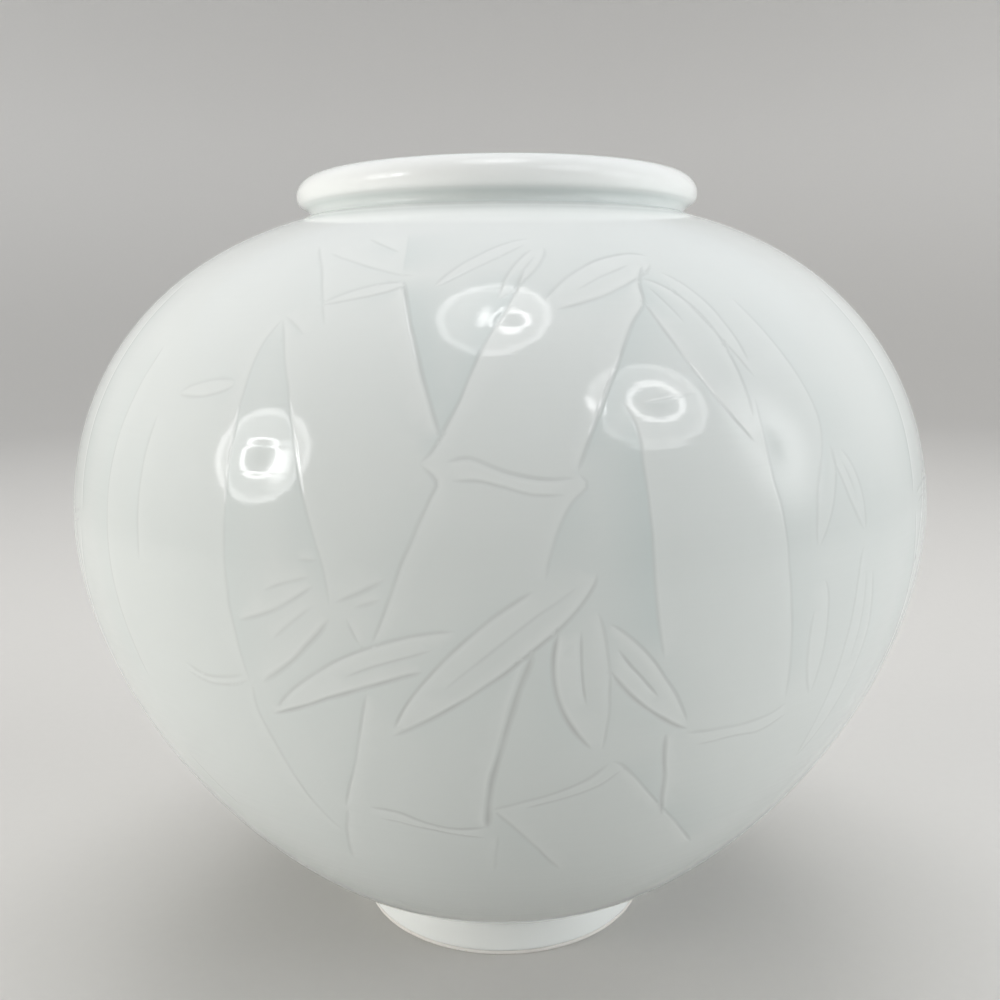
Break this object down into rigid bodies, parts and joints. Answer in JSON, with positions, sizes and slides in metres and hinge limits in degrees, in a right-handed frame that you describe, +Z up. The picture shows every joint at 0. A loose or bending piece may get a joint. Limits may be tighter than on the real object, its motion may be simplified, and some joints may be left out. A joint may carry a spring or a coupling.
{
  "type": "celadon vase",
  "caption": "Broad globular celadon vase with a short neck, a thick rolled lip and a turned foot ring, thrown in luted sections and glazed inside and out.",
  "frame": {"origin": "centre of the foot ring's contact face, on the surface that the vase stands on", "axes": "+Z up along the axis that the vase is turned about; the side shown in the picture faces -Y, with +X to its right"},
  "size_m": [0.27, 0.27, 0.2453],
  "materials": {
    "bare_clay": "fired white stoneware, unglazed and ground smooth where it stands",
    "body_clay": "fired white stoneware under the glaze",
    "celadon_glaze": "glossy pale blue-green celadon glaze over carved bamboo"
  },
  "bodies": {
    "root": {"foot_ring": "bare_clay", "lower_body": "body_clay", "upper_body": "body_clay", "neck": "body_clay", "rolled_lip": "body_clay", "outside_glaze": "celadon_glaze", "inside_glaze": "celadon_glaze", "base_glaze": "celadon_glaze"}
  },
  "joints": []
}
